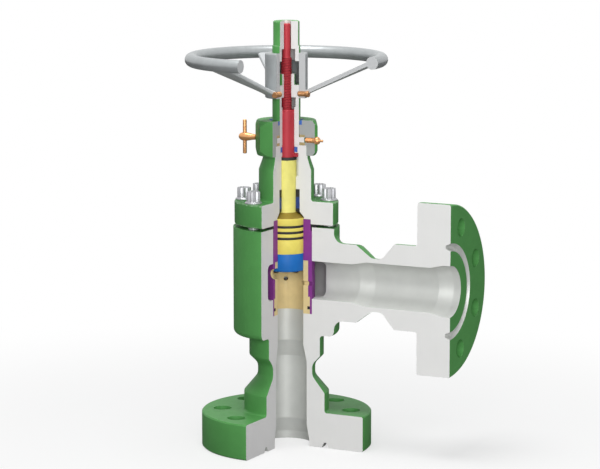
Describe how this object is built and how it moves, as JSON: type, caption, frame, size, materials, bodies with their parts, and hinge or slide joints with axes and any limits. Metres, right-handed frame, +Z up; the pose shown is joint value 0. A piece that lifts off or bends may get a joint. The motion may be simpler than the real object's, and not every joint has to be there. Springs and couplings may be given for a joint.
{
  "type": "choke valve",
  "caption": "Angle choke valve with flanged inlet and outlet, cage and plug, bonnet, packing and handwheel, cut away by a quarter to show the inside.",
  "frame": {"origin": "centre of the outlet bore at the outlet flange's face, at the bottom of the valve", "axes": "+Z up along the stem and the outlet bore, +X towards the inlet flange; the cut-away quarter is x above 0 and y below 0"},
  "size_m": [0.4372, 0.314, 0.667],
  "materials": {
    "green_paint": "satin enamel, pale machined section faces",
    "zinc_steel": "bright zinc plating",
    "gasket_steel": "turned",
    "cage_tan": "tan section colour on hardened steel",
    "sleeve_purple": "satin purple section colour",
    "plug_yellow": "satin yellow",
    "tip_blue": "satin blue",
    "stem_red": "satin red",
    "wheel_grey": "grey enamel on a casting",
    "brass": "turned",
    "washer_tan": "turned bronze",
    "black_rubber": "matt",
    "blue_packing": "matt"
  },
  "bodies": {
    "valve": {"valve_body": "green_paint", "bonnet": "green_paint", "bonnet_nut": "green_paint", "bonnet_bolts": "zinc_steel", "bonnet_gasket": "gasket_steel", "flow_cage": "cage_tan", "cage_sleeve": "sleeve_purple", "cage_seal": "black_rubber", "packing_bottom_ring": "black_rubber", "packing_set": "blue_packing", "packing_top_ring": "black_rubber", "stem_seal": "blue_packing", "lower_thrust_washer": "washer_tan", "upper_thrust_washer": "washer_tan", "nut_wiper": "blue_packing", "grease_fitting": "brass"},
    "drive": {"drive_bushing": "green_paint", "handwheel": "wheel_grey", "handwheel_screws": "brass", "top_cap": "green_paint"},
    "stem_and_plug": {"stem": "stem_red", "anti_rotation_key": "stem_red", "stem_ring": "black_rubber", "plug": "plug_yellow", "plug_ring_1": "black_rubber", "plug_ring_2": "black_rubber", "plug_ring_3": "black_rubber", "plug_tip": "tip_blue", "tip_screw": "zinc_steel"},
    "pad": {"lock_pad": "brass"},
    "locking_screw": {"lock_screw": "brass", "lock_bar": "brass"}
  },
  "joints": [
    {"name": "handwheel_turn", "type": "hinge", "parent": "valve", "child": "drive", "pos_m": [0, 0, 0.5], "axis": [0, 0, 1], "range_deg": [-2160, 0]},
    {"name": "stem_lift", "type": "slide", "parent": "valve", "child": "stem_and_plug", "axis": [0, 0, 1], "range_m": [-0.03, 0]},
    {"name": "lock_advance", "type": "slide", "parent": "valve", "child": "pad", "axis": [1, 0, 0], "range_m": [-0.00063, 0.00187]},
    {"name": "lock_turn", "type": "hinge", "parent": "pad", "child": "locking_screw", "pos_m": [-0.05, 0, 0.4836], "axis": [1, 0, 0], "range_deg": [-180, 540]}
  ],
  "couplings": [
    {"joint": "stem_lift", "follows": "handwheel_turn", "m_per_rad": 0.00079577},
    {"joint": "lock_advance", "follows": "lock_turn", "m_per_rad": 0.00019894}
  ]
}
